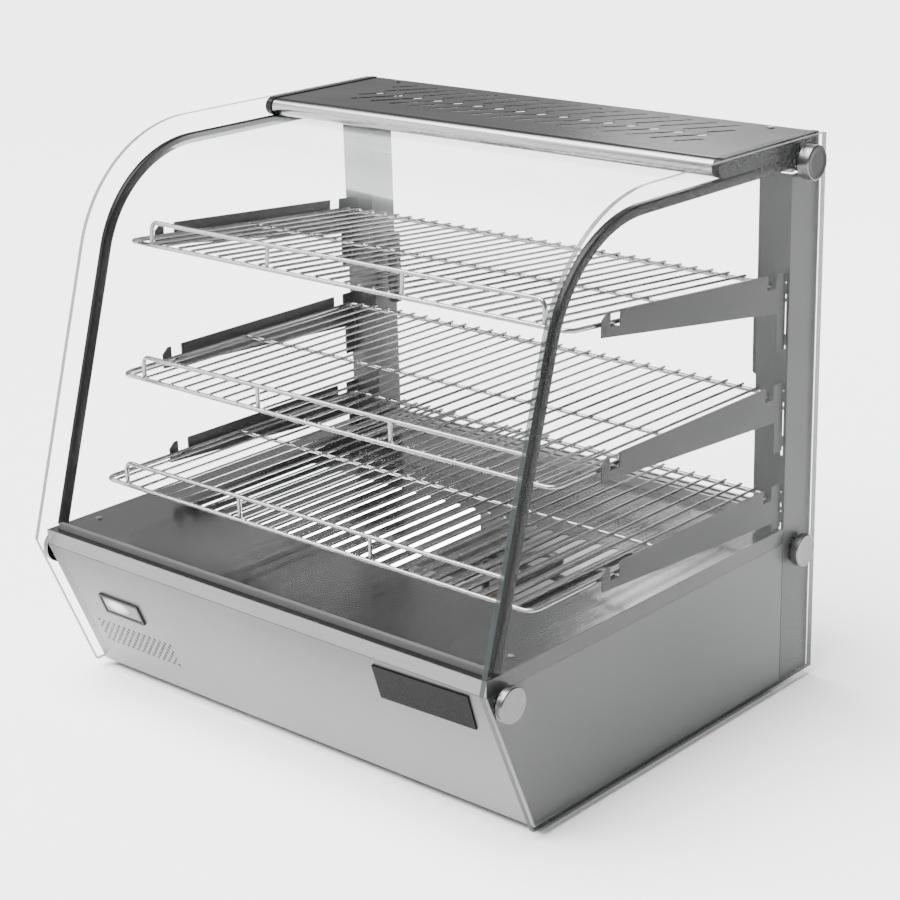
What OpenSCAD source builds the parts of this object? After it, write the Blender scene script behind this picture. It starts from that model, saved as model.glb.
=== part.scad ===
// Hot food display case: heated base, curved glass enclosure and three wire shelves.
// Millimetres. +X is right seen from the front, +Y is towards the rear, +Z is up.
// The origin is on the worktop, below the middle of the case.

/* [Case] */
// Width over the sheet metal base
base_w = 650; // [600:1:700]
// Height of the rim's top face above the worktop
rim_top = 191.3; // [185:0.1:200]
// Height of the folded rim band
rim_h = 16.8; // [12:0.1:20]
// Height of the rubber feet
foot_h = 10; // [6:1:16]
// Thickness of the folded sheet metal
sheet = 1.2; // [1:0.1:1.5]
// Distance from the middle of the case to its rear face
rear_y = 283; // [280:1:290]
// Distance from the middle to the foot of the sloping front panel
front_low = 203; // [195:1:210]
// Distance from the middle to the front face of the rim
front_high = 270.2; // [266:0.1:274]

/* [Glass] */
// Thickness of the side glass plates
plate_t = 6; // [5:0.5:8]
// Gap between the metal base and a side plate
plate_gap = 1; // [0.8:0.1:2]
// Height of the side plates' top edge
plate_top = 622; // [615:1:630]
// Distance from the middle to the front corner of the side plates
plate_nose = 283; // [280:1:286]
// Height of that corner
plate_nose_z = 182; // [178:1:186]
// Backward lean of the glass front, in degrees
lean = 17; // [15:0.5:18]
// Radius of the bend at the top of the side plates
bend_r = 170; // [150:1:180]
// Thickness of the curved front glass
curve_t = 5; // [4:0.5:5]

/* [Posts] */
// Width of a rear post
post_w = 42; // [38:1:46]
// Distance from the middle to the front face of the posts
post_front = 230; // [226:1:234]
// Height of the posts' top ends
post_top = 585.5; // [584:0.5:586]

/* [Shelves] */
// Half of the width of a wire shelf, between the middles of its side wires
shelf_half = 314; // [308:1:315]
// Diameter of the frame wires
frame_d = 5; // [4:0.5:6]
// Diameter of the grid wires
grid_d = 3; // [2.5:0.5:4]
// Spacing of the grid wires
grid_pitch = 21; // [18:1:30]
// Height of the guard rail's middle above the frame wire
rail_h = 25; // [20:1:30]
// Backward tilt of the top shelf, in degrees
top_tilt = 4.7; // [0:0.1:5]

/* [Hood] */
// Height of the hood's flat top
hood_top = 622; // [618:1:624]
// Distance from the middle to the hood's front edge
hood_front = 101; // [95:1:110]
// Thickness of the hood's sheet
hood_t = 0.8; // [0.8:0.1:1.2]
// Radius of the rolled front edge
roll_r = 10; // [8:0.5:10]
// Width of the vent slots in the hood
vent_w = 6; // [3:0.5:7]

/* [Deck] */
// Number of slots in the heated deck
deck_slots = 22; // [10:2:22]
// Spacing of the deck slots
deck_pitch = 22.7; // [20:0.1:23]
// Length of a deck slot
deck_slot_l = 190; // [120:1:200]
// Width of a deck slot
deck_slot_w = 10; // [6:1:12]

/* [Hidden] */
$fn = 48;

// colours
STEEL = "silver";
BRUSHED = "darkgray";
BLACK = "#222222";
CHROME = "gainsboro";
CLEAR = "#cfe8ee";
RUBBER = "#303030";

// cutting allowance for through holes
eps = 1;
half = base_w / 2;
rim_low = rim_top - rim_h;
base_h = rim_low - foot_h;
slope_l = sqrt(pow(front_high - front_low, 2) + pow(base_h, 2));
slope_a = atan((front_high - front_low) / base_h);

// curved enclosure outline: a leaning line, an arc and a level top, all tangent
arc_z = plate_top - bend_r;
arc_y = -plate_nose + (bend_r + (arc_z - plate_nose_z) * sin(lean)) / cos(lean);
plate_in = half + plate_gap;
plate_out = plate_in + plate_t;
bar_out = half - 2;
bar_w = 8.5;
bar_in = bar_out - bar_w;
bar_wall = 3;
bar_off = 20.5;
glass_off = 21.5;
bar_depth = 11.5;
hood_half = bar_in;
hood_rear = rear_y;

// places of the three fixings on each side: [y, z, cap thickness]
front_fix = [-248.5, 163.2];
rear_fix = [253, 162];
top_fix = [246.5, 597];
cap_r = 18.6;
cap_t = 8;
knob_t = 13;
stud_r = 3.5;
hole_r = 4.5;

// rear doors
door_t = 4;
door_half = 281;
door_lap = 12;
door_low = 195.5;
door_high = 595;
door_y_in = 244;
door_y_out = 258;
head_low = post_top;
head_high = 601.5;

// shelf brackets, in their own frame: origin at the bottom rear corner of the tail
arm_l = 317.5;
arm_h = 78;
arm_t = 1.5;
arm_x = 319.8;
tail_w = 16;
tail_long = -6;
tail_short = 27;
lug_z = 61;
lug_t = 1.5;
lug_play = 0.3;
wire_z = lug_z + lug_t + lug_play + frame_d / 2;
shelf_rear = -11;
arm_y = post_front - 0.2;
arm_z_top = 402;
arm_z_mid = 281.8;
arm_z_low = 166.3;
depth_top = 349;
depth_mid = 372;
depth_low = 408;
post_slots = [arm_z_top, arm_z_mid, arm_z_low];

// rear control panel
panel_y = 262;
knob_x = 232;
knob_z = 112;
knob_r = 19;
knob_l = 19;
shaft_r = 3;
shaft_fit = 0.06;
rocker_xs = [178, 146];
rocker_z = 112;
rocker_w = 13;
rocker_tilt = 8;
lamp_x = 205;
lamp_z = 152;
lens_r = 5;
gland_x = -232;
gland_z = 52;
gland_r = 8;
tray_x = 0;
tray_w = 170;
tray_h = 42;
tray_z = 58;
tray_l = 196;

module mirror_x(on) {
    if (on) mirror([1, 0, 0]) children();
    else children();
}

// solids drawn in the Y-Z plane and given a thickness along X, from x0 to x0 + t
module along_x(x0, t) {
    translate([x0, 0, 0]) rotate([90, 0, 90]) linear_extrude(t) children();
}

// corner where the leaning front starts, for an outline moved inwards by off
function nose(off) = [-plate_nose + off * cos(lean), plate_nose_z - off * sin(lean)];
// point where that leaning line runs into the bend
function bend_start(off) = [arc_y - (bend_r - off) * cos(lean), arc_z + (bend_r - off) * sin(lean)];

// keeps the part of a shape round the bend's centre that lies between the lean and the vertical
module bend_wedge() {
    far = 2 * bend_r;
    intersection() {
        children();
        polygon([[0, 0], [-far * cos(lean), far * sin(lean)], [-far, far], [0, far]]);
    }
}

// outline of the side plates
module profile() {
    translate([arc_y, arc_z]) bend_wedge() circle(r = bend_r, $fn = 128);
    polygon([[-front_low - 10, foot_h + 1], nose(0), bend_start(0), [arc_y, arc_z], [arc_y, plate_top],
        [rear_y, plate_top], [rear_y, foot_h + 1]]);
}

// band between two insets of that outline, from the height z0 up and back to y1
module band(off_out, off_in, z0, y1) {
    intersection() {
        union() {
            translate([arc_y, arc_z]) bend_wedge() difference() {
                circle(r = bend_r - off_out, $fn = 128);
                circle(r = bend_r - off_in, $fn = 128);
            }
            polygon([nose(off_out), bend_start(off_out), bend_start(off_in), nose(off_in)]);
            translate([arc_y, plate_top - off_in]) square([rear_y - arc_y, off_in - off_out]);
        }
        translate([-plate_nose, z0]) square([plate_nose + y1, plate_top]);
    }
}

// brings a shape drawn flat on the front panel to its slope: Z runs up the slope
module on_front() {
    translate([0, -front_low, foot_h]) rotate([slope_a, 0, 0]) children();
}

module rounded_box(size, r) {
    x = size[0] / 2 - r;
    y = size[1] / 2 - r;
    hull() for (i = [-1, 1], j = [-1, 1]) translate([i * x, j * y, 0]) cylinder(r = r, h = size[2], $fn = 32);
}

module slot_cut(l, w, h) {
    translate([-l / 2 + w / 2, -w / 2, 0]) cube([l - w, w, h]);
    for (s = [-1, 1]) translate([s * (l - w) / 2, 0, 0]) cylinder(d = w, h = h);
}

/* ---- base ---- */
foot_x = half - 45;
foot_ys = [-front_low + 50, rear_y - 78];
foot_top_r = 16;
foot_stem_r = 2.9;
foot_hole_r = 3;
tray_lip = 16;
floor_vents = 9;
floor_vent_pitch = 30;
floor_vent_l = 120;
floor_vent_w = 6;

module base_tray() {
    y0 = -front_low + 3;
    y1 = panel_y - 3;
    w = half - sheet - 0.3;
    first = -(floor_vents - 1) / 2 * floor_vent_pitch;
    color(STEEL) difference() {
        union() {
            translate([-w, y0, foot_h]) cube([2 * w, post_front - 1.5 - y0, sheet]);
            translate([-w + post_w, y0, foot_h]) cube([2 * (w - post_w), y1 - y0, sheet]);
            for (s = [-1, 1]) translate([s * (w - sheet / 2) - sheet / 2, y0, foot_h])
                cube([sheet, post_front - 6 - y0, tray_lip]);
            translate([-w + post_w, y1 - sheet, foot_h]) cube([2 * (w - post_w), sheet, tray_lip]);
        }
        for (s = [-1, 1], y = foot_ys) translate([s * foot_x, y, foot_h - eps])
            cylinder(r = foot_hole_r, h = sheet + 2 * eps);
        for (i = [0:floor_vents - 1]) translate([first + i * floor_vent_pitch, 20, foot_h - eps])
            rotate([0, 0, 90]) slot_cut(floor_vent_l, floor_vent_w, sheet + 2 * eps);
    }
}

// small round vents in staggered rows, below the thermometer's window
vent_pitch = 8.7;
vent_rise = 5;
vent_rows = 7;
vent_count = 15;
vent_d = 4;
window_x = -236;
window_s = 107;
window_w = 66;
window_h = 28;
vents_x = -236;
vents_s = 56;

module front_panel() {
    color(STEEL) on_front() difference() {
        translate([-half, 0, 0]) cube([2 * half, sheet, slope_l - 0.8]);
        translate([window_x - window_w / 2 + 4, -eps, window_s - window_h / 2 + 4])
            cube([window_w - 8, sheet + 2 * eps, window_h - 8]);
        for (row = [0:vent_rows - 1]) {
            n = vent_count - row % 2;
            x0 = vents_x - (n - 1) / 2 * vent_pitch;
            up = vents_s + (row - (vent_rows - 1) / 2) * vent_rise;
            for (i = [0:n - 1]) translate([x0 + i * vent_pitch, -eps, up])
                rotate([-90, 0, 0]) cylinder(d = vent_d, h = sheet + 2 * eps, $fn = 16);
        }
    }
}

module side_panel(right) {
    inset = (sheet + 0.4) / cos(slope_a);
    color(STEEL) mirror_x(!right) difference() {
        along_x(half - sheet, sheet) polygon([[-front_low + inset, foot_h],
            [-front_high + inset, rim_low - 0.3], [post_front - 1.6, rim_low - 0.3],
            [post_front - 1.6, foot_h]]);
        translate([half - sheet - eps, front_fix[0], front_fix[1]]) rotate([0, 90, 0])
            cylinder(r = hole_r, h = sheet + 2 * eps);
    }
}
module side_panel_left() { side_panel(false); }
module side_panel_right() { side_panel(true); }

rear_vents = 10;
rear_vent_x = -210;
rear_vent_z = 138;
rear_vent_pitch = 12;
rocker_hole = [16.4, 25.4];
tray_play = 1.5;
module rear_panel() {
    w = half - post_w - 1;
    color(STEEL) difference() {
        translate([-w, panel_y - sheet, foot_h + 0.2])
            cube([2 * w, sheet, rim_top - foot_h - sheet - 0.5]);
        translate([knob_x, panel_y + eps, knob_z]) rotate([90, 0, 0]) cylinder(r = 6, h = sheet + 2 * eps);
        for (x = rocker_xs)
            translate([x - rocker_hole[0] / 2, panel_y - sheet - eps, rocker_z - rocker_hole[1] / 2])
                cube([rocker_hole[0], sheet + 2 * eps, rocker_hole[1]]);
        translate([lamp_x, panel_y + eps, lamp_z]) rotate([90, 0, 0])
            cylinder(r = lens_r + 0.2, h = sheet + 2 * eps);
        translate([gland_x, panel_y + eps, gland_z]) rotate([90, 0, 0])
            cylinder(r = gland_r + 0.2, h = sheet + 2 * eps);
        translate([tray_x - tray_w / 2 - tray_play, panel_y - sheet - eps, tray_z - tray_play])
            cube([tray_w + 2 * tray_play, sheet + 2 * eps, tray_h + 2 * tray_play]);
        for (i = [0:rear_vents - 1])
            translate([rear_vent_x + i * rear_vent_pitch, panel_y + eps, rear_vent_z]) rotate([90, 90, 0])
                slot_cut(44, 5, sheet + 2 * eps);
    }
}

module rim_frame() {
    ledge = 12;
    ledge_z = rim_top - 2 * sheet - 0.2;
    run = front_high + post_front - 0.4;
    color(BRUSHED) union() {
        translate([-half, -front_high, rim_low]) cube([2 * half, sheet, rim_h]);
        translate([-half + sheet, -front_high + sheet, ledge_z]) cube([2 * (half - sheet), ledge, sheet]);
        for (s = [-1, 1]) {
            translate([s * (half - sheet / 2) - sheet / 2, -front_high, rim_low]) cube([sheet, run, rim_h]);
            translate([s * (half - sheet - ledge / 2) - ledge / 2, -front_high + sheet, ledge_z])
                cube([ledge, run - sheet, sheet]);
        }
    }
}

deck_low = rim_top - sheet - 0.1;
deck_slot_y = -21.5;
module deck_plate() {
    w = half - sheet - 0.2;
    rear_w = half - post_w - 0.6;
    first = -(deck_slots - 1) / 2 * deck_pitch;
    color(STEEL) difference() {
        union() {
            translate([-w, -front_high + sheet + 0.2, deck_low])
                cube([2 * w, front_high + post_front - 1 - sheet, sheet]);
            translate([-rear_w, post_front - 2, deck_low])
                cube([2 * rear_w, rear_y - post_front - 12, sheet]);
        }
        for (i = [0:deck_slots - 1]) translate([first + i * deck_pitch, deck_slot_y, deck_low - eps])
            rotate([0, 0, 90]) slot_cut(deck_slot_l, deck_slot_w, sheet + 2 * eps);
    }
}

module feet() {
    color(RUBBER) for (s = [-1, 1], y = foot_ys) translate([s * foot_x, y, 0]) difference() {
        union() {
            cylinder(r1 = foot_top_r - 3, r2 = foot_top_r, h = foot_h - 3);
            translate([0, 0, foot_h - 3]) cylinder(r = foot_top_r, h = 3);
            translate([0, 0, foot_h]) cylinder(r = foot_stem_r, h = 9);
        }
        translate([0, 0, -eps]) cylinder(r = 6, h = 3 + eps);
    }
}

badge_x = 234;
badge_s = 148;
module badge() {
    color(BLACK) on_front() translate([badge_x, 0, badge_s]) rotate([90, 0, 0])
        linear_extrude(2) polygon([[-61, 20], [66, 24], [61, -22], [-66, -26]]);
}

module thermometer_bezel() {
    color(BLACK) on_front() translate([window_x, -2.5, window_s]) rotate([-90, 0, 0]) difference() {
        rounded_box([window_w, window_h, 2.5], 2);
        translate([0, 0, -eps]) rounded_box([window_w - 6, window_h - 6, 2.5 + 2 * eps], 1.5);
    }
}

module thermometer_lens() {
    color(CLEAR) on_front() translate([window_x, -1.6, window_s]) rotate([-90, 0, 0])
        rounded_box([window_w - 6.4, window_h - 6.4, 1.5], 1.4);
}

module thermometer_body() {
    size = [window_w - 10, 22, window_h - 10];
    color(BLACK) on_front() {
        translate([window_x - size[0] / 2, 0.1, window_s - size[2] / 2]) cube(size);
        translate([window_x, size[1], window_s]) rotate([-90, 0, 0]) cylinder(r = 5, h = 8);
    }
}

panel_screw_xs = [-275, -90, 90, 275];
deck_screw_ys = [-212, 205];
hood_screw = [270, 271.5];
screw_r = 1.9;
screw_head_r = 4;

// a screw standing at the origin, its head above z = 0
module screw(l, head) {
    cylinder(r = screw_head_r, h = head);
    translate([0, 0, -l]) cylinder(r = screw_r, h = l + head / 2);
}
module panel_screws() {
    color(CHROME) {
        for (s = [-1, 1], y = deck_screw_ys) translate([s * (half - 20), y, rim_top - 0.1]) screw(8, 1.6);
        for (x = panel_screw_xs) translate([x, panel_y, 24]) rotate([-90, 0, 0]) screw(8, 1.6);
        for (s = [-1, 1]) translate([s * hood_screw[0], hood_screw[1], hood_top]) screw(26, 1.2);
    }
}

/* ---- posts, hood and glass ---- */
fold_x = half - 21;
post_in = half - post_w;
post_back = 271;
post_lip = 10;
fold = 2.5;
slot_w = 3.2;

module post(right) {
    color(STEEL) mirror_x(!right) difference() {
        translate([0, 0, foot_h]) linear_extrude(post_top - foot_h) polygon([
            [half, post_front], [half, rear_y], [half - post_lip, rear_y],
            [half - post_lip, rear_y - sheet], [half - sheet, rear_y - sheet],
            [half - sheet, post_front + sheet], [fold_x, post_front + sheet],
            [post_in + sheet, post_front + sheet + fold], [post_in + sheet, post_back],
            [post_in, post_back], [post_in, post_front + fold], [fold_x, post_front]]);
        for (z = post_slots) translate([arm_x - slot_w / 2, post_front - eps, z]) {
            translate([0, 0, -6]) cube([slot_w, sheet + 2 * eps, 52]);
            translate([0, 0, arm_h - 28]) cube([slot_w, sheet + 2 * eps, 18]);
        }
        translate([half - sheet - eps, rear_fix[0], rear_fix[1]]) rotate([0, 90, 0])
            cylinder(r = hole_r, h = sheet + 2 * eps);
    }
}
module post_left() { post(false); }
module post_right() { post(true); }

vent_dx = 37;
vent_dy = 45.5;
vent_l = sqrt(vent_dx * vent_dx + vent_dy * vent_dy) + vent_w;
vent_a = atan(vent_dy / vent_dx);
hood_vents = 15;
hood_pitch = 31;
hood_rows = [157.5, 215.5];

module hood_vent(x, y, part) {
    l = part == 0 ? vent_l : vent_l / 2;
    move = part * (vent_l - l) / 2;
    translate([x + vent_dx / 2, y + vent_dy / 2, hood_top - hood_t - eps]) rotate([0, 0, vent_a])
        translate([move, 0, 0]) slot_cut(l, vent_w, hood_t + 2 * eps);
}

module hood() {
    first = -(hood_vents - 1) / 2 * hood_pitch - vent_dx / 2;
    roll_y = hood_front + roll_r;
    color(BRUSHED) difference() {
        along_x(-hood_half + 0.2, 2 * hood_half - 0.4) union() {
            translate([roll_y, hood_top - roll_r]) difference() {
                circle(r = roll_r, $fn = 96);
                circle(r = roll_r - hood_t, $fn = 96);
                translate([0, -2 * roll_r]) square(4 * roll_r);
            }
            translate([roll_y, hood_top - 2 * roll_r]) square([12, hood_t]);
            translate([roll_y, hood_top - hood_t]) square([hood_rear - roll_y, hood_t]);
            translate([hood_rear - hood_t, hood_top - 2 * roll_r + 1]) square([hood_t, 2 * roll_r - 1]);
        }
        for (y = hood_rows) {
            for (k = [0:hood_vents - 1]) hood_vent(first + k * hood_pitch, y, 0);
            hood_vent(first - hood_pitch, y, 1);
            hood_vent(first + hood_vents * hood_pitch, y, -1);
        }
        for (s = [-1, 1]) translate([s * hood_screw[0], hood_screw[1], hood_top - hood_t - eps])
            cylinder(r = screw_r + 0.1, h = hood_t + 2 * eps);
    }
}

module hood_cap(right) {
    z0 = head_high + 0.2;
    r = (hood_top + 0.8 - z0) / 2;
    color(BLACK) mirror_x(!right) along_x(hood_half, bar_w) union() {
        translate([hood_front + r - 1.5, z0 + r]) circle(r = r, $fn = 96);
        translate([hood_front + r - 1.5, z0]) square([hood_rear - hood_front - r + 1, 2 * r]);
    }
}
module hood_cap_left() { hood_cap(false); }
module hood_cap_right() { hood_cap(true); }

module side_glass(right) {
    color(CLEAR) mirror_x(!right) difference() {
        along_x(plate_in, plate_t) profile();
        for (f = [front_fix, rear_fix, top_fix]) translate([plate_in - eps, f[0], f[1]])
            rotate([0, 90, 0]) cylinder(r = hole_r, h = plate_t + 2 * eps);
    }
}
module side_glass_left() { side_glass(false); }
module side_glass_right() { side_glass(true); }

glass_half = bar_out - bar_wall - 0.4;
glass_rear = 150;
module front_glass() {
    color(CLEAR) along_x(-glass_half, 2 * glass_half)
        band(glass_off, glass_off + curve_t, rim_top + 3, glass_rear);
}

eye_r = 12;
module trim_bar(right) {
    groove = glass_off + curve_t + 0.2;
    rear = head_front - 1;
    bar_top = plate_top - bar_off;
    color(BLACK) mirror_x(!right) difference() {
        union() {
            difference() {
                along_x(bar_in, bar_w) band(bar_off, bar_off + bar_depth, rim_top, rear);
                along_x(bar_in - eps, bar_w - bar_wall + eps) band(bar_off - 2 * eps, groove, 0, rear_y);
            }
            along_x(bar_out - bar_wall, bar_wall) {
                translate([rear, bar_top - bar_depth]) square([top_fix[0] - rear, bar_depth]);
                intersection() {
                    translate(top_fix) circle(r = eye_r);
                    translate([top_fix[0] - eye_r / 2, bar_top - bar_depth]) square([2 * eye_r, bar_depth]);
                }
            }
        }
        translate([bar_in - eps, top_fix[0], top_fix[1]]) rotate([0, 90, 0])
            cylinder(r = stud_r + 0.3, h = bar_w + 2 * eps);
    }
}
module trim_bar_left() { trim_bar(false); }
module trim_bar_right() { trim_bar(true); }

seal_h = 7;
module front_glass_seal() {
    low = nose(glass_off)[0] + (rim_top - plate_nose_z) * tan(lean);
    color(RUBBER) along_x(-bar_in + 0.3, 2 * bar_in - 0.6) difference() {
        translate([low - 1.5, rim_top]) square([curve_t + 5, seal_h]);
        band(glass_off - 0.1, glass_off + curve_t + 0.1, rim_top + 2.8, 0);
    }
}

/* ---- rear doors ---- */
head_front = 236;
head_rear = 281;
head_half = bar_out - bar_wall - 0.5;
door_play = 0.8;
module door_track_top() {
    color(BRUSHED) difference() {
        along_x(-head_half, 2 * head_half) difference() {
            translate([head_front, head_low]) square([head_rear - head_front, head_high - head_low]);
            for (y = [door_y_in, door_y_out]) translate([y - door_play, head_low - eps])
                square([door_t + 2 * door_play, head_high - head_low - 4 + eps]);
            translate([head_front + 31, head_low - eps]) square([12, head_high - head_low - 3 + eps]);
        }
        for (s = [-1, 1]) translate([s * hood_screw[0], hood_screw[1], head_low])
            cylinder(r = screw_r + 0.1, h = 20);
        for (s = [-1, 1]) translate([s * (head_half + eps), top_fix[0], top_fix[1]]) rotate([0, -s * 90, 0])
            cylinder(r = stud_r + 0.1, h = 14 + eps);
    }
}

module door_track_bottom() {
    track_half = door_half + 1;
    color(BRUSHED) along_x(-track_half, 2 * track_half) difference() {
        translate([door_y_in - 4, rim_top]) square([door_y_out - door_y_in + door_t + 8, 12]);
        for (y = [door_y_in, door_y_out]) translate([y - door_play, rim_top + 3.7])
            square([door_t + 2 * door_play, 12]);
    }
}

module door(x0, x1, y) {
    color(CLEAR) translate([x0, y, door_low]) cube([x1 - x0, door_t, door_high - door_low]);
}
module door_left() { door(-door_half, door_lap, door_y_in); }
module door_right() { door(-door_lap, door_half, door_y_out); }

pull_h = 90;
module door_pull(s, y) {
    color(BLACK) translate([s * (door_half - 14), y + door_t, 395]) rotate([-90, 0, 0]) difference() {
        rounded_box([16, pull_h, 7], 4);
        translate([0, 0, 2.5]) rounded_box([9, pull_h - 10, 6], 3);
    }
}
module door_pull_left() { door_pull(-1, door_y_in); }
module door_pull_right() { door_pull(1, door_y_out); }

/* ---- shelves ---- */
module arm_place(z, tilt) {
    translate([0, arm_y, z + wire_z]) rotate([-tilt, 0, 0]) translate([0, 0, -wire_z]) children();
}

// the two windows in each bracket, where a lug is folded inwards to carry the shelf
lug_ys = [-26.5, -296.5];
lug_l = 16;
lug_reach = 11;
window_top = 19;
hook_l = 4.5;
hook_h = 8;

module arm_outline(tilt) {
    rear = 8;
    intersection() {
        translate([0, wire_z]) rotate(-tilt) translate([0, -wire_z]) polygon([[rear, arm_h],
            [-arm_l + 8, arm_h], [-arm_l, arm_h - 7], [-arm_l, arm_h - 24], [-tail_w - 6, arm_h - 42],
            [rear, arm_h - 43]]);
        translate([-2 * arm_l, -arm_h]) square([2 * arm_l, 3 * arm_h]);
    }
}

module bracket(right, z, tilt, tail) {
    color(STEEL) mirror_x(!right) {
        translate([0, arm_y, z]) along_x(arm_x - arm_t / 2, arm_t) {
            translate([-tail_w, tail]) square([tail_w, arm_h - 30 - tail]);
            for (hook = [arm_h - 20, tail + 8]) {
                translate([-1, hook]) square([hook_l, hook_h]);
                translate([hook_l - 3, hook - 4]) square([2, 5]);
            }
        }
        difference() {
            translate([0, arm_y, z]) along_x(arm_x - arm_t / 2, arm_t) arm_outline(tilt);
            arm_place(z, tilt) for (y = lug_ys)
                translate([arm_x - arm_t, y - lug_l / 2, lug_z + lug_t]) cube([2 * arm_t, lug_l, window_top]);
        }
        arm_place(z, tilt) for (y = lug_ys) translate([arm_x - lug_reach, y - lug_l / 2 + 1, lug_z]) {
            cube([lug_reach, lug_l - 2, lug_t]);
            cube([lug_t, lug_l - 2, 4]);
        }
    }
}
module bracket_top_left() { bracket(false, arm_z_top, top_tilt, tail_long); }
module bracket_top_right() { bracket(true, arm_z_top, top_tilt, tail_long); }
module bracket_middle_left() { bracket(false, arm_z_mid, 0, 0); }
module bracket_middle_right() { bracket(true, arm_z_mid, 0, 0); }
module bracket_bottom_left() { bracket(false, arm_z_low, 0, tail_short); }
module bracket_bottom_right() { bracket(true, arm_z_low, 0, tail_short); }

corner_r = 12;
wire_sink = 0.8;

module wire_x(x0, x1, y, z, d) {
    translate([x0, y, z]) rotate([0, 90, 0]) cylinder(d = d, h = x1 - x0, $fn = 24);
}
module wire_y(x, y0, y1, z, d) {
    translate([x, y0, z]) rotate([-90, 0, 0]) cylinder(d = d, h = y1 - y0, $fn = 24);
}
module wire_corner(x, y, a, r, d) {
    translate([x, y, 0]) rotate([0, 0, a]) rotate_extrude(angle = 90, $fn = 48)
        translate([r, 0]) circle(d = d, $fn = 24);
}

module shelf(z, tilt, depth) {
    y1 = shelf_rear;
    y0 = y1 - depth;
    s = shelf_half;
    r = corner_r;
    grid_z = frame_d / 2 + grid_d / 2 - wire_sink;
    count = floor((s - 10) / grid_pitch);
    color(CHROME) arm_place(z, tilt) translate([0, 0, wire_z]) union() {
        wire_x(-s + r, s - r, y0, 0, frame_d);
        wire_x(-s + r, s - r, y1, 0, frame_d);
        for (i = [-1, 1]) wire_y(i * s, y0 + r, y1 - r, 0, frame_d);
        wire_corner(-s + r, y0 + r, 180, r, frame_d);
        wire_corner(s - r, y0 + r, 270, r, frame_d);
        wire_corner(s - r, y1 - r, 0, r, frame_d);
        wire_corner(-s + r, y1 - r, 90, r, frame_d);
        wire_x(-s, s, (y0 + y1) / 2 + 5, grid_z - grid_d + wire_sink - 0.5, 4);
        for (i = [-count:count]) wire_y(i * grid_pitch, y0 - 1, y1 + 5, grid_z, grid_d);
    }
}
module shelf_top() { shelf(arm_z_top, top_tilt, depth_top); }
module shelf_middle() { shelf(arm_z_mid, 0, depth_mid); }
module shelf_bottom() { shelf(arm_z_low, 0, depth_low); }

rail_half = 281;
rail_mid = 97;
rail_r = 9;
module guard_rail(z, tilt, depth) {
    y = shelf_rear - depth + frame_d - wire_sink;
    color(CHROME) arm_place(z, tilt) translate([0, y, wire_z]) union() {
        wire_x(-rail_half + rail_r, rail_half - rail_r, 0, rail_h, frame_d);
        for (s = [-1, 1]) {
            translate([s * rail_half, 0, -frame_d / 2])
                cylinder(d = frame_d, h = rail_h - rail_r + frame_d / 2, $fn = 24);
            translate([s * rail_mid, 0, -frame_d / 2])
                cylinder(d = frame_d - 0.4, h = rail_h + frame_d / 2, $fn = 24);
            translate([s * (rail_half - rail_r), 0, rail_h - rail_r]) rotate([90, 0, 0])
                rotate([0, 0, s > 0 ? 0 : 90]) rotate_extrude(angle = 90, $fn = 48)
                    translate([rail_r, 0]) circle(d = frame_d, $fn = 24);
        }
    }
}
module guard_rail_top() { guard_rail(arm_z_top, top_tilt, depth_top); }
module guard_rail_middle() { guard_rail(arm_z_mid, 0, depth_mid); }
module guard_rail_bottom() { guard_rail(arm_z_low, 0, depth_low); }

/* ---- fixings ---- */
module cap(f, t) {
    translate([plate_out, f[0], f[1]]) rotate([0, 90, 0]) rotate_extrude()
        polygon([[0, 0], [cap_r - 1, 0], [cap_r, 1], [cap_r, t - 1.5], [cap_r - 1.5, t], [0, t]]);
}
module both() {
    children();
    mirror([1, 0, 0]) children();
}
module fixing_caps() {
    color(CHROME) both() {
        cap(front_fix, cap_t);
        cap(rear_fix, cap_t);
        cap(top_fix, knob_t);
    }
}
module washer(f, x0, t, r) {
    translate([x0, f[0], f[1]]) rotate([0, 90, 0]) difference() {
        cylinder(r = r, h = t);
        translate([0, 0, -eps]) cylinder(r = stud_r + 0.3, h = t + 2 * eps);
    }
}
module fixing_spacers() {
    color(CHROME) both() {
        washer(front_fix, half, plate_gap, 14);
        washer(rear_fix, half, plate_gap, 14);
        washer(top_fix, bar_out, 1, 12);
        washer(top_fix, bar_out + 1, 1, 10);
        washer(top_fix, bar_out + 2, plate_in - bar_out - 2, 12);
    }
}
module stud(f, x0) {
    translate([x0, f[0], f[1]]) rotate([0, 90, 0]) cylinder(r = stud_r, h = plate_out - x0);
}
module nut(f, x0) {
    translate([x0, f[0], f[1]]) rotate([0, 90, 0]) cylinder(r = 7.5, h = 6, $fn = 6);
}
module fixing_studs() {
    color(CHROME) both() {
        stud(front_fix, half - 14);
        nut(front_fix, half - sheet - 6);
        stud(rear_fix, half - 14);
        nut(rear_fix, half - sheet - 6);
        stud(top_fix, head_half - 12);
    }
}

/* ---- inside the base ---- */
element_d = 8;
element_z = 158;
element_gap = 40;
element_x = 62;
element_legs = 6;
element_front = -95;
element_rear = 60;
element_end = 110;
module heating_element() {
    r = element_gap / 2;
    last = element_legs - 1;
    color(BRUSHED) translate([element_x, 0, element_z]) union() {
        for (i = [0:last]) {
            rear = i == last || i == 0 ? element_end : element_rear;
            wire_y(i * element_gap, element_front, rear, 0, element_d);
        }
        for (i = [0:2:last - 1]) translate([i * element_gap + r, element_front, 0]) rotate([0, 0, 180])
            rotate_extrude(angle = 180) translate([r, 0]) circle(d = element_d, $fn = 24);
        for (i = [1:2:last - 2]) translate([i * element_gap + r, element_rear, 0])
            rotate_extrude(angle = 180) translate([r, 0]) circle(d = element_d, $fn = 24);
    }
}

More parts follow.
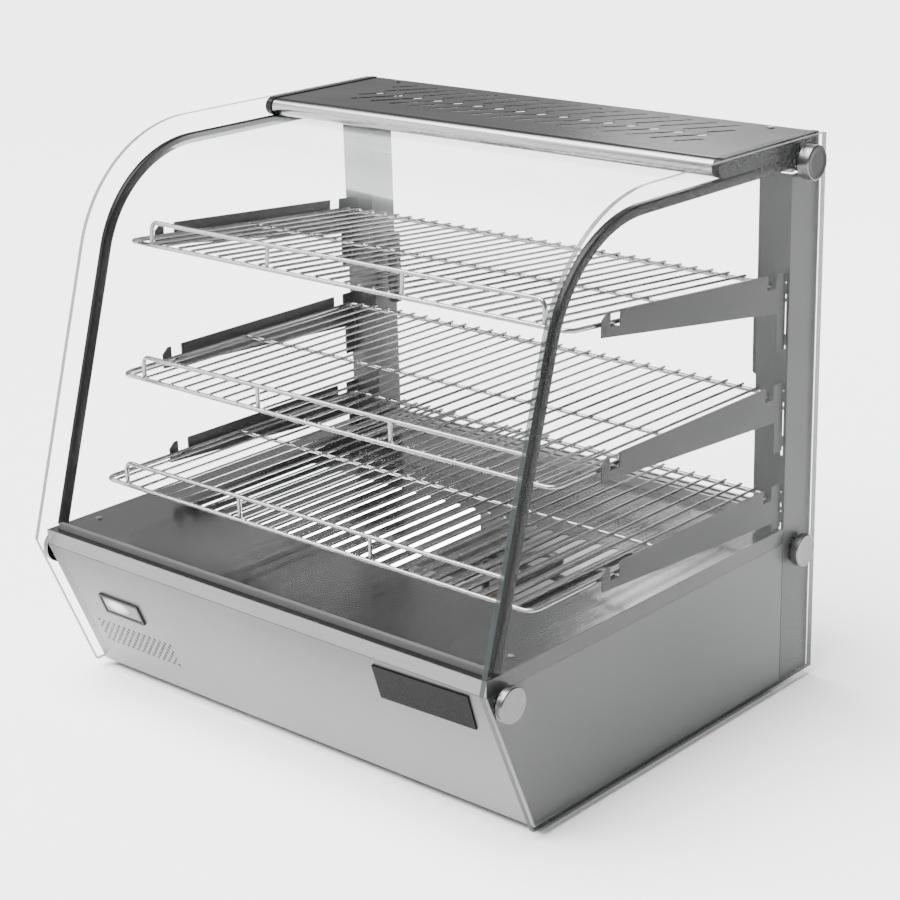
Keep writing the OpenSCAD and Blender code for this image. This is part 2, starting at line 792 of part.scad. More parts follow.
module element_clips() {
    run = (element_legs - 1) * element_gap;
    foot = foot_h + sheet;
    over = 12;
    leg = 3;
    color(STEEL) for (y = [-60, 45]) union() {
        translate([element_x - over, y - 5, element_z - 9]) cube([run + 2 * over, 10, 4.6]);
        for (x = [element_x - over, element_x + run + over - leg])
            translate([x, y - 5, foot]) cube([leg, 10, element_z - 6 - foot]);
    }
}

cover_x0 = -252;
cover_x1 = 16;
cover_y0 = -122;
cover_y1 = 79;
cover_w = cover_x1 - cover_x0;
cover_h = 26;
cover_t = 2.5;
lamp_r = 7;
lamp_y = -20;
lamp_tube_z = deck_low - 13;
holder_t = 12;
module lamp_cover() {
    color("white") translate([cover_x0, cover_y0, deck_low - cover_h]) difference() {
        cube([cover_w, cover_y1 - cover_y0, cover_h]);
        translate([cover_t, cover_t, -eps])
            cube([cover_w - 2 * cover_t, cover_y1 - cover_y0 - 2 * cover_t, cover_h - cover_t + eps]);
    }
}
module lamp() {
    x0 = cover_x0 + cover_t + holder_t - 1;
    color("white") translate([x0, lamp_y, lamp_tube_z]) rotate([0, 90, 0])
        cylinder(r = lamp_r, h = cover_w - 2 * (cover_t + holder_t) + 2);
}
socket_l = 1.4;
module lamp_holders() {
    inside = cover_w / 2 - cover_t;
    color(BLACK) translate([(cover_x0 + cover_x1) / 2, lamp_y, 0]) both() difference() {
        translate([inside - holder_t, -10, deck_low - cover_h]) cube([holder_t, 20, cover_h - cover_t]);
        translate([inside - holder_t - eps, 0, lamp_tube_z]) rotate([0, 90, 0])
            cylinder(r = lamp_r + 0.3, h = socket_l + eps);
    }
}

module water_tray() {
    y1 = panel_y + 0.3;
    front_t = 3;
    lap = [7, 6];
    handle = [90, 13, 8];
    color(STEEL) translate([tray_x, 0, tray_z]) difference() {
        union() {
            translate([-tray_w / 2, y1 - tray_l, 0]) cube([tray_w, tray_l, tray_h]);
            translate([-tray_w / 2 - lap[0], y1, -lap[1]])
                cube([tray_w + 2 * lap[0], front_t, tray_h + 2 * lap[1]]);
            translate([-handle[0] / 2, y1 + front_t, 10]) cube(handle);
        }
        translate([-tray_w / 2 + sheet, y1 - tray_l + sheet, sheet])
            cube([tray_w - 2 * sheet, tray_l - 2 * sheet, tray_h]);
    }
}

// brings a shape standing on the origin to the thermostat's axis, pointing rearwards from the panel
module on_knob() {
    translate([knob_x, panel_y, knob_z]) rotate([-90, 0, 0]) children();
}
shaft_in = 19.5;
module thermostat_body() {
    body = [44, 34, 40];
    color(BLACK) difference() {
        union() {
            translate([knob_x - body[0] / 2, panel_y - sheet - body[1], knob_z - body[2] / 2]) cube(body);
            on_knob() translate([0, 0, -sheet]) cylinder(r = 5.8, h = sheet + 1.5);
            translate([knob_x - 60, panel_y - 30, knob_z]) rotate([0, 90, 0]) cylinder(r = 4, h = 40);
        }
        on_knob() translate([0, 0, -shaft_in - 0.5]) cylinder(r = shaft_r + shaft_fit, h = 40);
    }
}
module thermostat_shaft() {
    color(CHROME) on_knob() translate([0, 0, -shaft_in]) cylinder(r = shaft_r, h = 34);
}
module thermostat_knob() {
    color(BLACK) on_knob() translate([0, 0, 2]) difference() {
        union() {
            cylinder(r = knob_r, h = 3);
            translate([0, 0, 3]) cylinder(r = knob_r - 3, h = knob_l - 3);
            translate([-1.2, -knob_r + 0.5, 3]) cube([2.4, 6, knob_l - 3]);
        }
        translate([0, 0, -eps]) cylinder(r = shaft_r, h = 12.5 + eps);
    }
}
terminals = 5;
terminal_pitch = 11;
module terminal_block() {
    size = [24, terminals * terminal_pitch + 5, 22];
    color("beige") translate([255, 170, 25]) difference() {
        cube(size);
        for (i = [0:terminals - 1]) translate([size[0] / 2, 8 + i * terminal_pitch, size[2] / 2 + 1])
            cylinder(r = 3, h = size[2] / 2);
    }
}

pin_y = -4;
pin_l = 14.8;
module switch_housings() {
    flange = [20, 2, 29];
    body = [16, 24, 25];
    mouth = [rocker_w + 1, 13, 22];
    color(BLACK) for (x = rocker_xs) translate([x, panel_y, rocker_z]) difference() {
        union() {
            translate([-flange[0] / 2, 0, -flange[2] / 2]) cube(flange);
            translate([-body[0] / 2, -body[1], -body[2] / 2]) cube(body);
        }
        translate([-mouth[0] / 2, -10, -mouth[2] / 2]) cube(mouth);
        translate([-pin_l / 2 - 0.2, pin_y, 0]) rotate([0, 90, 0])
            cylinder(r = 1.55, h = pin_l + 0.4, $fn = 32);
    }
}
module rocker(x) {
    color("firebrick") translate([x, panel_y + pin_y, rocker_z]) union() {
        rotate([-rocker_tilt, 0, 0]) along_x(-rocker_w / 2, rocker_w)
            polygon([[-2.5, -4], [2, -9.4], [8.3, -9], [6.6, 0], [8.3, 9], [2, 9.4], [-2.5, 4]]);
        translate([-pin_l / 2, 0, 0]) rotate([0, 90, 0]) cylinder(r = 1.5, h = pin_l, $fn = 32);
    }
}
module heater_rocker() { rocker(rocker_xs[0]); }
module light_rocker() { rocker(rocker_xs[1]); }

module indicator_lamp() {
    color("orange") translate([lamp_x, panel_y, lamp_z]) rotate([-90, 0, 0]) {
        translate([0, 0, -18]) cylinder(r = lens_r, h = 18.5);
        cylinder(r = 7, h = 2);
        translate([0, 0, 1.9]) cylinder(r = 4.5, h = 3);
    }
}
module cable_gland() {
    color(BLACK) translate([gland_x, panel_y, gland_z]) rotate([-90, 0, 0]) difference() {
        union() {
            translate([0, 0, -9]) cylinder(r = gland_r, h = 10);
            translate([0, 0, -7]) cylinder(r = 12, h = 5, $fn = 6);
            cylinder(r = 12, h = 6, $fn = 6);
            translate([0, 0, 6]) cylinder(r = 9, h = 8);
        }
        translate([0, 0, -9 - eps]) cylinder(r = 4, h = 25);
    }
}

base_tray();
front_panel();
side_panel_left();
side_panel_right();
rear_panel();
rim_frame();
deck_plate();
feet();
badge();
thermometer_bezel();
thermometer_lens();
thermometer_body();
panel_screws();
post_left();
post_right();
hood();
hood_cap_left();
hood_cap_right();
side_glass_left();
side_glass_right();
front_glass();
trim_bar_left();
trim_bar_right();
front_glass_seal();
door_track_top();
door_track_bottom();
door_left();
door_right();
door_pull_left();
door_pull_right();
bracket_top_left();
bracket_top_right();
bracket_middle_left();
bracket_middle_right();
bracket_bottom_left();
bracket_bottom_right();
shelf_top();
shelf_middle();
shelf_bottom();
guard_rail_top();
guard_rail_middle();
guard_rail_bottom();
fixing_caps();
fixing_spacers();
fixing_studs();
heating_element();
element_clips();
lamp_cover();
lamp();
lamp_holders();
water_tray();
thermostat_body();
thermostat_shaft();
thermostat_knob();
terminal_block();
switch_housings();
heater_rocker();
light_rocker();
indicator_lamp();
cable_gland();
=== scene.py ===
# %% Load the frame
import math

import bmesh
import bpy
import numpy as np
from mathutils import Matrix, Vector


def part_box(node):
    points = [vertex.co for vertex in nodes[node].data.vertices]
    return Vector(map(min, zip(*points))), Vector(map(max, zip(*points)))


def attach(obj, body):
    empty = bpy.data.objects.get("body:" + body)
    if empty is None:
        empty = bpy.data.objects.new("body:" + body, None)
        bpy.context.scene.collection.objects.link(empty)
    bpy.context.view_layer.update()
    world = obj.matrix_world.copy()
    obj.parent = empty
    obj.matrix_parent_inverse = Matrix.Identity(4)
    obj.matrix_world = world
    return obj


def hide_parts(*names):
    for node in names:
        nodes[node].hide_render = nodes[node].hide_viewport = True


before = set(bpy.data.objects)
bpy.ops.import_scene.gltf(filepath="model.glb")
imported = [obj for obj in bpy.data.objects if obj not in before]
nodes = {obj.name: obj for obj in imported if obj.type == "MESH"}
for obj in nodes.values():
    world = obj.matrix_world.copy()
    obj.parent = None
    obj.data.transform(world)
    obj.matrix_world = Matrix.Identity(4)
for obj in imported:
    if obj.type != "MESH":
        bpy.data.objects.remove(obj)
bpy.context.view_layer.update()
MM = 0.001

# %% [markdown]
# The object is a countertop case that keeps food warm. The frame gives every
# part its place and size, so this script only adds finishes and finer shapes.
# A camera is fixed first. It is described as a photographer would: how far
# round the object it stands, how high it looks down, how far away it is, and
# how much the tripod leans.

# %% The camera
AZIMUTH = math.radians(41.99)
ELEVATION = math.radians(19.04)
DISTANCE = 2.40
ROLL = math.radians(-1.60)
LENS = 87.0
FILM_WIDTH = 36.0
AIM = Vector((0.0238, 0.0223, 0.2775))


def make_camera():
    """A camera on a sphere round the aim point, turned to face it, then rolled about its own axis."""
    level = math.cos(ELEVATION)
    back = Vector((math.sin(AZIMUTH) * level, -math.cos(AZIMUTH) * level, math.sin(ELEVATION)))
    data = bpy.data.cameras.new("camera")
    data.lens = LENS
    data.sensor_width = FILM_WIDTH
    camera = bpy.data.objects.new("camera", data)
    bpy.context.scene.collection.objects.link(camera)
    right = Vector((0, 0, 1)).cross(back).normalized()
    up = back.cross(right)
    turned_right = math.cos(ROLL) * right + math.sin(ROLL) * up
    turned_up = -math.sin(ROLL) * right + math.cos(ROLL) * up
    turn = Matrix((turned_right, turned_up, back)).transposed()
    camera.matrix_world = Matrix.Translation(AIM + DISTANCE * back) @ turn.to_4x4()
    bpy.context.scene.camera = camera
    return camera


print("camera at", tuple(round(v, 3) for v in make_camera().location))

# %% [markdown]
# Steel has hardly any colour of its own, so it shows what stands around it.
# A white room would leave it flat. Here the room is dim, and one very broad
# light overhead makes the floor bright. Level faces then mirror the dim room
# and turn dark, and leaning faces mirror the floor and turn bright. A panel at
# the left and one behind put the long gradients on the sheet metal, and
# painted shade in the colour of the front panel, rim and hood adds to them.

# %% The studio
def make_panel(name, place, aim, size, watts):
    """A rectangular soft light at place, facing aim."""
    data = bpy.data.lights.new(name, "AREA")
    data.shape = "RECTANGLE"
    data.size, data.size_y = size
    data.energy = watts
    lamp = bpy.data.objects.new(name, data)
    lamp.location = place
    lamp.rotation_euler = (Vector(aim) - Vector(place)).to_track_quat("-Z", "Y").to_euler()
    bpy.context.scene.collection.objects.link(lamp)
    return lamp


def make_world(strength):
    """A plain white room of the given brightness."""
    world = bpy.data.worlds.new("studio")
    world.use_nodes = True
    sky = world.node_tree.nodes["Background"]
    sky.inputs["Color"].default_value = (1.0, 1.0, 1.0, 1.0)
    sky.inputs["Strength"].default_value = strength
    bpy.context.scene.world = world


def make_overcast(strength, place, spread):
    """A light as broad as an overcast sky, from the direction of place."""
    data = bpy.data.lights.new("overcast", "SUN")
    data.energy = strength
    data.angle = spread
    lamp = bpy.data.objects.new("overcast", data)
    lamp.rotation_euler = Vector(place).to_track_quat("Z", "Y").to_euler()
    bpy.context.scene.collection.objects.link(lamp)
    return lamp


make_world(0.55)
make_overcast(14.0, (-0.30, -0.35, 1.0), math.radians(60))
make_panel("left_front", (-1.9, -1.7, 1.2), (0, -0.1, 0.2), (1.0, 1.6), 20)
make_panel("behind", (-0.9, 2.4, 1.6), (0, 0, 0.5), (1.2, 0.5), 14)

# %% [markdown]
# The floor is one broad level sheet, so wide that its edges stay out of
# sight.

# %% Mesh from arrays
SHARP = math.radians(35)


def mesh_piece(name, points, faces):
    """A mesh object from an N x 3 array in metres and a list of faces; its sharp edges stay crisp."""
    mesh = bpy.data.meshes.new(name)
    mesh.from_pydata(np.asarray(points, float).tolist(), [], faces)
    mesh.update()
    mesh.shade_smooth()
    mesh.set_sharp_from_angle(angle=SHARP)
    piece = bpy.data.objects.new(name, mesh)
    bpy.context.scene.collection.objects.link(piece)
    return piece


def grid_faces(rows, columns, closed=False):
    """Quads between neighbours of a rows x columns grid, whose columns may close into a ring."""
    r = np.arange(rows - 1)
    c = np.arange(columns if closed else columns - 1)
    r, c = [a.ravel() for a in np.meshgrid(r, c, indexing="ij")]
    here, above, beside = r * columns, (r + 1) * columns, (c + 1) % columns
    return np.stack([here + c, above + c, above + beside, here + beside], 1).tolist()


FLOOR_REACH = 40.0


def make_floor():
    """Every pair of a place across and a place in depth, at height 0."""
    place = np.linspace(-FLOOR_REACH, FLOOR_REACH, 9)
    across, depth = np.meshgrid(place, place)
    points = np.stack([across, depth, 0 * across], 2).reshape(-1, 3)
    floor = mesh_piece("floor", points, [face[::-1] for face in grid_faces(place.size, place.size)])
    return floor


floor = make_floor()
print("floor faces:", len(floor.data.polygons))

# %% [markdown]
# Every finish is a small tree of nodes. The same few steps come back in all of
# them, so they are helpers here: a noise read in the object's own coordinates
# and stretched along one direction, a ramp between two colours, a range for
# roughness, a soft spot, and a bump.

# %% Material helpers
class Finish:
    """One material on a Principled shader; the helpers add nodes and return their output sockets."""

    def __init__(self, name, **constants):
        self.material = bpy.data.materials.new(name)
        self.material.use_nodes = True
        self.tree = self.material.node_tree
        self.shader = self.tree.nodes["Principled BSDF"]
        for socket, value in constants.items():
            self.shader.inputs[socket.replace("_", " ")].default_value = value
        self.coordinates = self.tree.nodes.new("ShaderNodeTexCoord").outputs["Object"]

    def link(self, source, socket):
        self.tree.links.new(source, self.shader.inputs[socket])

    def stretched(self, scale):
        """Object coordinates multiplied along each axis."""
        mapping = self.tree.nodes.new("ShaderNodeMapping")
        mapping.inputs["Scale"].default_value = scale
        self.tree.links.new(self.coordinates, mapping.inputs["Vector"])
        return mapping.outputs["Vector"]

    def noise(self, scale, detail=4.0, roughness=0.55, stretch=(1, 1, 1)):
        node = self.tree.nodes.new("ShaderNodeTexNoise")
        node.inputs["Scale"].default_value = scale
        node.inputs["Detail"].default_value = detail
        node.inputs["Roughness"].default_value = roughness
        self.tree.links.new(self.stretched(stretch), node.inputs["Vector"])
        return node.outputs["Fac"]

    def ramp(self, source, stops):
        """Colours along a value; stops are (place, colour)."""
        node = self.tree.nodes.new("ShaderNodeValToRGB")
        bar = node.color_ramp.elements
        for k, (place, colour) in enumerate(stops):
            stop = bar[k] if k < 2 else bar.new(place)
            stop.position, stop.color = place, (*colour, 1.0)
        self.tree.links.new(source, node.inputs["Fac"])
        return node.outputs["Color"]

    def span(self, source, low, high, start=0.3, end=0.7):
        """A value between start and end, laid out between low and high."""
        node = self.tree.nodes.new("ShaderNodeMapRange")
        for socket, value in (("From Min", start), ("From Max", end), ("To Min", low), ("To Max", high)):
            node.inputs[socket].default_value = value
        self.tree.links.new(source, node.inputs["Value"])
        return node.outputs["Result"]

    def sum(self, a, b, kind="ADD"):
        """Two values added, or joined by another kind of sum."""
        node = self.tree.nodes.new("ShaderNodeMath")
        node.operation = kind
        self.tree.links.new(a, node.inputs[0])
        self.tree.links.new(b, node.inputs[1])
        return node.outputs["Value"]

    def mixed(self, factor, source, colour):
        """The source's colour where the factor is 0, a plain colour where it is 1."""
        node = self.tree.nodes.new("ShaderNodeMix")
        node.data_type = "RGBA"
        factor_in, source_in, colour_in = (node.inputs[k] for k in (0, 6, 7))
        self.tree.links.new(factor, factor_in)
        self.tree.links.new(source, source_in)
        colour_in.default_value = (*colour, 1.0)
        return node.outputs[2]

    def place(self, axis):
        """One of the object's own coordinates, in metres."""
        node = self.tree.nodes.new("ShaderNodeSeparateXYZ")
        self.tree.links.new(self.coordinates, node.inputs[0])
        return node.outputs[axis]

    def spot(self, centre, reach):
        """1 at the centre, falling to 0 at the reach along each axis."""
        mapping = self.tree.nodes.new("ShaderNodeMapping")
        mapping.inputs["Scale"].default_value = [1 / r for r in reach]
        mapping.inputs["Location"].default_value = [-c / r for c, r in zip(centre, reach)]
        self.tree.links.new(self.coordinates, mapping.inputs["Vector"])
        node = self.tree.nodes.new("ShaderNodeTexGradient")
        node.gradient_type = "SPHERICAL"
        self.tree.links.new(mapping.outputs["Vector"], node.inputs["Vector"])
        return node.outputs["Fac"]

    def bump(self, height, strength, depth):
        node = self.tree.nodes.new("ShaderNodeBump")
        node.inputs["Strength"].default_value = strength
        node.inputs["Distance"].default_value = depth
        self.tree.links.new(height, node.inputs["Height"])
        self.link(node.outputs["Normal"], "Normal")


print("helpers ready")

# %% The floor
def paper(name, tone):
    """Matt paper: almost no colour change, a faint fibre bump."""
    f = Finish(name, Roughness=0.9)
    f.link(f.ramp(f.noise(40, 3), [(0.3, tuple(0.985 * v for v in tone)), (0.7, tone)]), "Base Color")
    f.bump(f.noise(300, 3), 0.02, 0.0005)
    return f.material


floor.data.materials.append(paper("paper", (0.96, 0.96, 0.96)))
print("floor finish:", floor.data.materials[0].name)

# %% [markdown]
# Brushed stainless sheet is rolled, then rubbed one way with an abrasive belt.
# The belt leaves fine parallel lines, so the noise is squeezed across the
# brushing and stretched along it. Two sizes of line are added up, and a much
# larger soft noise changes the roughness a little, as handling does.

# %% Brushed steel
ALONG_X, ALONG_Y, ALONG_Z = (0.02, 1, 1), (1, 0.02, 1), (1, 1, 0.02)
SIDE_START, SIDE_END = 0.3236, 0.3242


def grey(value):
    return (value, value, value)


def brushed_steel(name, grain, dark, light, rough, lines, metal=1.0, sides=1.0, upward_shade=None):
    """Sides paints shade on the faces at the far left and right. The last argument, (low, high, amount),
    paints shade that deepens upwards.

    Both are painted reflection: real sheet mirrors a room that gets darker from place to place, which they
    stand for."""
    dark, light = grey(dark), grey(light)
    f = Finish(name, Metallic=metal, Specular_IOR_Level=0.25)
    fine = f.noise(1500, 3, stretch=grain)
    coarse = f.noise(260, 5, stretch=grain)
    cloud = f.noise(5, 2)
    grains = f.sum(fine, coarse)
    colour = f.ramp(f.span(grains, 0, 1, 0.7, 1.3), [(0.0, dark), (1.0, light)])
    # Painted shade: faces beyond SIDE_START across are darkened towards sides times the dark tone.
    if sides < 1.0:
        reach = f.sum(f.place(0), f.place(0), "MULTIPLY")
        outer = f.span(reach, 0.0, 1.0, SIDE_START ** 2, SIDE_END ** 2)
        colour = f.mixed(outer, colour, tuple(sides * v for v in dark))
    # Painted shade: the colour darkens upwards from low to high, towards amount times the dark tone.
    if upward_shade:
        low, high, amount = upward_shade
        upwards = f.span(f.place(2), 0.0, 1.0, low, high)
        colour = f.mixed(upwards, colour, tuple(amount * v for v in dark))
    f.link(colour, "Base Color")
    f.link(f.sum(f.span(coarse, rough[0], rough[1]), f.span(cloud, -0.04, 0.06)), "Roughness")
    f.bump(grains, lines, 0.0002)
    return f.material


# These are copies of one brushed stainless steel. Besides the brushing direction, each copy's base
# brightness is set for how lit or shaded its parts look: painted light and shade, from the near black
# brackets to the bright top track.
steel_across = brushed_steel("steel_brushed_across", ALONG_X, 0.34, 0.40, (0.34, 0.40), 0.02)
steel_deep = brushed_steel("steel_brushed_deep", ALONG_Y, 0.085, 0.095, (0.42, 0.48), 0.01, 0.55)
steel_up = brushed_steel("steel_brushed_up", ALONG_Z, 0.042, 0.052, (0.40, 0.46), 0.01, 0.7)
# The front panel's colour darkens towards its top: painted shade, standing for a dimmer reflection.
steel_front = brushed_steel("steel_front", ALONG_X, 0.24, 0.27, (0.34, 0.40), 0.02,
                            0.8, upward_shade=(0.02, 0.17, 0.42))
# The rim's far left and right faces are painted darker: painted shade.
steel_rim = brushed_steel("steel_rim", ALONG_X, 0.15, 0.18, (0.30, 0.36), 0.02, sides=0.42)
# The hood's level top is painted near black and its rolled front lighter: painted reflection of the dim
# room, with a painted highlight band on the roll.
steel_hood = brushed_steel("steel_hood", ALONG_X, 0.24, 0.30, (0.20, 0.26), 0.02,
                           upward_shade=(0.618, 0.6216, 0.11))
steel_deck = brushed_steel("steel_deck", ALONG_Y, 0.14, 0.18, (0.12, 0.20), 0.02)
steel_bracket = brushed_steel("steel_bracket", ALONG_Y, 0.022, 0.028, (0.42, 0.50), 0.01, 0.35)
steel_track = brushed_steel("steel_track", ALONG_X, 0.62, 0.72, (0.40, 0.48), 0.02, 0.3)
print("steels:", [m.name for m in bpy.data.materials if m.name.startswith("steel")])

# %% [markdown]
# The shelf wires are chrome plated. Plating is close to a mirror, so its
# roughness is low, and a faint ripple from the drawn wire under it breaks
# the reflections up.

# %% Chrome
def chrome(name, light, rough):
    f = Finish(name, Metallic=1.0)
    ripple = f.noise(220, 3)
    f.link(f.ramp(ripple, [(0.3, tuple(0.86 * v for v in light)), (0.7, light)]), "Base Color")
    f.link(f.span(ripple, rough, rough + 0.10), "Roughness")
    f.bump(ripple, 0.06, 0.0003)
    return f.material


wire_chrome = chrome("chrome_wire", grey(0.30), 0.16)
fitting_chrome = chrome("chrome_fitting", grey(0.40), 0.20)

# %% [markdown]
# The turned caps are cut on a lathe, which leaves rings round their middle.
# The rings are a wave on the piece's own map, whose first value is the
# distance from the middle.

# %% Turned steel
def turned(name, light):
    f = Finish(name, Metallic=1.0)
    rings = f.tree.nodes.new("ShaderNodeTexWave")
    rings.bands_direction = "X"
    rings.inputs["Scale"].default_value = 14.0
    rings.inputs["Distortion"].default_value = 0.6
    rings.inputs["Detail"].default_value = 2.0
    uv = f.tree.nodes.new("ShaderNodeUVMap")
    uv.uv_map = "around"
    f.tree.links.new(uv.outputs["UV"], rings.inputs["Vector"])
    f.link(f.ramp(rings.outputs["Fac"], [(0.0, tuple(0.8 * v for v in light)), (1.0, light)]), "Base Color")
    f.link(f.span(rings.outputs["Fac"], 0.22, 0.34, 0, 1), "Roughness")
    f.bump(rings.outputs["Fac"], 0.12, 0.0002)
    return f.material


turned_steel = turned("turned_steel", grey(0.16))
turned_dark = turned("turned_dark", grey(0.022))

# %% [markdown]
# Black parts come in three kinds: satin lacquer on the metal bars, moulded
# plastic with a fine spark-eroded texture, and rubber. They differ in how
# rough they are and in how fine their bump is, more than in colour.

# %% Blacks, plastics and rubber
def moulded(name, colour, rough, texture=900.0, depth=0.12, shine=0.5):
    f = Finish(name, Specular_IOR_Level=shine)
    grain = f.noise(texture, 3)
    wear = f.noise(14, 4)
    tone = f.ramp(wear, [(0.25, colour), (0.8, tuple(min(1.0, v * 1.35 + 0.006) for v in colour))])
    f.link(tone, "Base Color")
    f.link(f.sum(f.span(grain, rough - 0.05, rough + 0.05), f.span(wear, -0.04, 0.05)), "Roughness")
    f.bump(grain, depth, 0.0002)
    return f.material


black_lacquer = moulded("black_lacquer", grey(0.004), 0.24, 300, 0.03, 0.10)
black_plastic = moulded("black_plastic", grey(0.010), 0.46, shine=0.2)
badge_plastic = moulded("badge_plastic", grey(0.002), 0.30, 500, 0.03, 0.03)
rubber = moulded("rubber", grey(0.030), 0.78, 420, 0.30)
red_plastic = moulded("red_plastic", (0.42, 0.012, 0.010), 0.30, 600, 0.05)
amber_plastic = moulded("amber_plastic", (0.80, 0.27, 0.02), 0.16, 400, 0.05)
pale_plastic = moulded("pale_plastic", (0.66, 0.61, 0.50), 0.45)

# %% [markdown]
# A heating element is a steel tube that has been red hot. The heat leaves
# straw and blue-brown oxide in patches, which a ramp over a slow noise gives.

# %% Heat-tinted steel, lamp and display
def heat_tinted(name):
    f = Finish(name, Metallic=0.9)
    patch = f.noise(22, 5)
    oxide = [(0.2, (0.10, 0.08, 0.07)), (0.8, (0.34, 0.24, 0.16)), (0.5, (0.17, 0.15, 0.17))]
    f.link(f.ramp(patch, oxide), "Base Color")
    f.link(f.span(patch, 0.35, 0.6), "Roughness")
    f.bump(f.noise(700, 3), 0.15, 0.0002)
    return f.material


def glowing(name, colour, strength):
    f = Finish(name, Roughness=0.5, Emission_Strength=strength, Emission_Color=(*colour, 1.0))
    f.link(f.ramp(f.noise(60, 2), [(0.3, tuple(0.92 * v for v in colour)), (0.7, colour)]), "Base Color")
    return f.material


opal_plastic = glowing("opal_plastic", (1.0, 1.0, 0.98), 15.0)
heater_steel = heat_tinted("heater_steel")
lamp_glow = glowing("lamp_glow", (1.0, 0.96, 0.90), 12.0)


def lit_display(name, centre, reach):
    """Smoked glass with a soft pale spot, where the lit figures stand."""
    f = Finish(name, Roughness=0.2, Specular_IOR_Level=0.3)
    glow = f.spot(centre, reach)
    f.link(f.ramp(glow, [(0.0, grey(0.10)), (0.6, grey(0.62))]), "Base Color")
    f.bump(f.noise(300, 2), 0.02, 0.0002)
    return f.material


lens_low, lens_high = (Vector(v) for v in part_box("thermometer_lens"))
lens_middle = (lens_low + lens_high) / 2 - Vector((0.008, 0.0, -0.001))
display_glass = lit_display("display_glass", lens_middle, (0.022, 0.05, 0.010))

# %% [markdown]
# A pane is nearly invisible from the front. What shows is the reflection,
# which grows towards grazing angles, and the cut edge, where light has
# travelled far through the glass and looks grey-green. So a pane has two
# finishes: a clear one whose opacity follows the viewing angle as Fresnel's
# law says, and a denser one for the ground edge.

# %% Glass
def clear_glass(name, colour, least, most):
    f = Finish(name, Roughness=0.03, IOR=1.5)
    facing = f.tree.nodes.new("ShaderNodeLayerWeight")
    facing.inputs["Blend"].default_value = 0.12
    haze = f.noise(3, 3)
    f.link(f.ramp(haze, [(0.3, tuple(0.94 * v for v in colour)), (0.7, colour)]), "Base Color")
    f.link(f.span(facing.outputs["Fresnel"], least, most, 0.0, 1.0), "Alpha")
    f.material.surface_render_method = "BLENDED"
    return f.material


def edge_glass(name, colour, opacity):
    f = Finish(name, Roughness=0.22, Specular_IOR_Level=0.25, Alpha=opacity)
    ground = f.noise(160, 3)
    f.link(f.ramp(ground, [(0.3, tuple(0.7 * v for v in colour)), (0.7, colour)]), "Base Color")
    f.bump(ground, 0.10, 0.0003)
    return f.material


pane_glass = clear_glass("pane_glass", (0.90, 0.94, 0.93), 0.0, 0.30)
pane_edge = edge_glass("pane_edge", (0.025, 0.035, 0.034), 0.85)
door_glass = clear_glass("door_glass", (0.90, 0.94, 0.93), 0.01, 0.30)
print("materials:", len(bpy.data.materials))

# %% [markdown]
# Now each node of the frame gets its finish. The sheet parts are brushed along
# their length, so a node's finish follows the way its sheet was cut, and its
# brightness carries painted light and shade for that part.

# %% Finishes on the frame's own parts
FINISHES = {
    "front_panel": steel_front, "rear_panel": steel_across, "rim_frame": steel_rim,
    "side_panel_left": steel_deep, "side_panel_right": steel_deep, "hood": steel_hood,
    "deck_plate": steel_deck, "base_tray": steel_deep, "door_track_top": steel_track,
    "door_track_bottom": steel_across, "water_tray": steel_across, "element_clips": steel_up,
    "post_left": steel_up, "post_right": steel_up, "feet": rubber, "front_glass_seal": rubber,
    "badge": badge_plastic, "thermometer_bezel": black_plastic, "thermometer_body": black_plastic,
    "thermometer_lens": display_glass, "panel_screws": fitting_chrome,
    "hood_cap_left": black_lacquer, "hood_cap_right": black_lacquer,
    "trim_bar_left": black_lacquer, "trim_bar_right": black_lacquer,
    "side_glass_left": pane_glass, "side_glass_right": pane_glass, "front_glass": pane_glass,
    "door_left": door_glass, "door_right": door_glass, "door_pull_left": black_plastic,
    "door_pull_right": black_plastic, "fixing_caps": fitting_chrome,
    "fixing_spacers": fitting_chrome, "fixing_studs": fitting_chrome,
    "heating_element": heater_steel, "lamp_cover": opal_plastic,
    "lamp": lamp_glow, "lamp_holders": black_plastic, "thermostat_body": black_plastic,
    "thermostat_shaft": fitting_chrome, "thermostat_knob": black_plastic,
    "terminal_block": pale_plastic, "switch_housings": black_plastic,
    "heater_rocker": red_plastic, "light_rocker": red_plastic,
    "indicator_lamp": amber_plastic, "cable_gland": black_plastic,
}
for level in ("top", "middle", "bottom"):
    FINISHES[f"shelf_{level}"] = wire_chrome
    FINISHES[f"guard_rail_{level}"] = wire_chrome
    FINISHES[f"bracket_{level}_left"] = steel_bracket
    FINISHES[f"bracket_{level}_right"] = steel_bracket

for name, node in nodes.items():
    if not node.data.materials:
        node.data.materials.append(None)
    for slot in node.material_slots:
        slot.material = FINISHES[name]
print("finished nodes:", len(FINISHES))

# %% [markdown]
# The side plates, the curved front pane and the two bars beside it all follow
# one outline: a straight line that leans back 17 degrees, a bend, and a level
# top. Moved inwards, the line and the bend stay tangent, because the bend keeps
# its centre and only its radius shrinks. One function gives the outline at any
# inset, and every piece is carried along it.

# %% The outline that the glass follows
LEAN = math.radians(17)
BEND = 170 * MM
PLATE_LOW, PLATE_HIGH = (np.array(v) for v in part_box("side_glass_right"))
NOSE = np.array([PLATE_LOW[1], 182 * MM])
CENTRE_Z = PLATE_HIGH[2] - BEND
CENTRE_Y = NOSE[0] + (BEND + (CENTRE_Z - NOSE[1]) * math.sin(LEAN)) / math.cos(LEAN)


BEND_STEPS, STRAIGHT_STEPS = 40, 12


